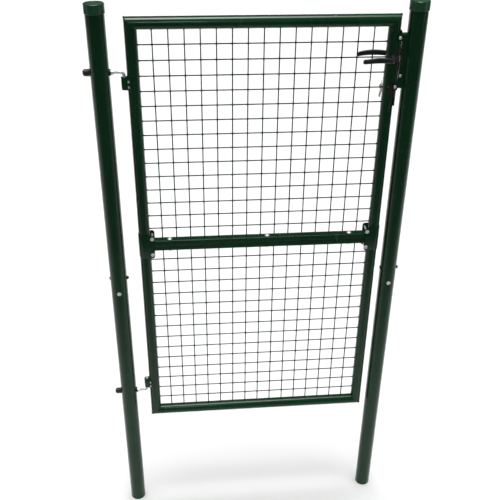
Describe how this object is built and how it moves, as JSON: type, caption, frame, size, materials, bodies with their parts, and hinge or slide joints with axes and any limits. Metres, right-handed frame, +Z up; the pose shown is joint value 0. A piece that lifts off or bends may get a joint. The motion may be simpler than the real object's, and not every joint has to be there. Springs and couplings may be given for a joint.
{
  "type": "garden gate",
  "caption": "Single-leaf steel garden gate: two round posts, a two-part tube frame with welded mesh, adjustable hinges and a cylinder lock with levers.",
  "frame": {"origin": "centre of the hinge post's foot, on the post's axis", "axes": "+X from the hinge post to the latch post, +Y to the back of the gate, towards which the leaf opens, +Z up"},
  "size_m": [1.093, 0.1306, 2.113],
  "materials": {
    "green_coating": "glossy powder coating over galvanised steel tube",
    "green_mesh": "thick green coating over welded wire",
    "green_plastic": "moulded green plastic",
    "black_plastic": "black moulded plastic",
    "zinc": "bright zinc plated steel",
    "black_steel": "blackened steel",
    "inner_steel": "plain galvanised sheet",
    "brown_steel": "dark brown baked lacquer",
    "nickel": "satin nickel plated brass",
    "nylon": "dark nylon"
  },
  "bodies": {
    "posts": {"hinge_post_lower": "green_coating", "hinge_post_upper": "green_coating", "latch_post_lower": "green_coating", "latch_post_upper": "green_coating", "post_sleeves": "inner_steel", "post_caps": "green_plastic", "splice_bolts": "black_steel", "splice_nuts": "black_steel", "splice_screws": "zinc", "upper_hinge_rod": "zinc", "lower_hinge_rod": "zinc", "hinge_saddle_washers": "black_plastic", "hinge_nuts": "zinc", "hinge_end_caps": "black_plastic", "latch_keep": "green_coating", "keep_bolt": "zinc", "keep_nut": "zinc"},
    "leaf": {"top_rail": "green_coating", "bottom_rail": "green_coating", "upper_mid_bar": "green_coating", "lower_mid_bar": "green_coating", "upper_hinge_stile": "green_coating", "lower_hinge_stile": "green_coating", "upper_lock_stile": "green_coating", "lower_lock_stile": "green_coating", "stile_spigots": "inner_steel", "hinge_joint_strap": "green_coating", "lock_joint_strap": "green_coating", "strap_bolts": "zinc", "strap_nuts": "zinc", "mid_bar_bolts": "zinc", "mid_bar_nuts": "zinc", "upper_mesh_uprights": "green_mesh", "upper_mesh_cross_wires": "green_mesh", "lower_mesh_uprights": "green_mesh", "lower_mesh_cross_wires": "green_mesh", "upper_hinge_eye": "green_coating", "lower_hinge_eye": "green_coating", "hinge_bushes": "nylon", "hinge_rivets": "zinc", "lock_forend": "brown_steel", "lock_case": "inner_steel", "lock_clips": "green_coating", "clip_screws": "zinc", "lock_cylinder": "nickel", "lock_front_plug": "nickel", "cylinder_fixing_screw": "zinc", "lever_roses": "black_plastic"},
    "handle": {"front_lever": "black_plastic", "rear_lever": "black_plastic", "spindle": "zinc", "lock_follower": "zinc", "lever_grub_screws": "zinc"},
    "latch": {"latch_bolt": "zinc"},
    "deadbolt": {"deadbolt": "zinc"},
    "barrel": {"lock_rear_plug": "nickel", "lock_cam": "zinc"},
    "key": {"key": "nickel"},
    "key_ring": {"key_ring": "zinc"},
    "spare_keys": {"spare_keys": "nickel"}
  },
  "joints": [
    {"name": "leaf_swing", "type": "hinge", "parent": "posts", "child": "leaf", "pos_m": [0.075, 0, 0], "axis": [0, 0, 1], "range_deg": [0, 110]},
    {"name": "handle_turn", "type": "hinge", "parent": "leaf", "child": "handle", "pos_m": [0.932, 0, 1.935], "axis": [0, -1, 0], "range_deg": [0, 33], "stiffness_Nm_per_rad": 1.2, "springref_deg": -9.74},
    {"name": "latch_slide", "type": "slide", "parent": "leaf", "child": "latch", "axis": [-1, 0, 0], "range_m": [0, 0.0093]},
    {"name": "key_turn", "type": "hinge", "parent": "leaf", "child": "barrel", "pos_m": [0.932, 0, 1.843], "axis": [0, 1, 0], "range_deg": [0, 360]},
    {"name": "key_slide", "type": "slide", "parent": "barrel", "child": "key", "axis": [0, 1, 0], "range_m": [-0.018, 0.005]},
    {"name": "deadbolt_slide", "type": "slide", "parent": "leaf", "child": "deadbolt", "axis": [1, 0, 0], "range_m": [0, 0.012]},
    {"name": "key_ring_swing", "type": "hinge", "parent": "key", "child": "key_ring", "pos_m": [0.932, 0.068, 1.842], "axis": [1, 0, 0], "range_deg": [-10, 90]},
    {"name": "spare_keys_swing", "type": "hinge", "parent": "key_ring", "child": "spare_keys", "pos_m": [0.932, 0.068, 1.82], "axis": [0.7071, 0.7071, 0], "range_deg": [-15, 60]}
  ],
  "couplings": [
    {"joint": "latch_slide", "follows": "handle_turn", "m_per_rad": 0.01614},
    {"joint": "deadbolt_slide", "follows": "key_turn", "m_per_rad": 0.0019098}
  ]
}
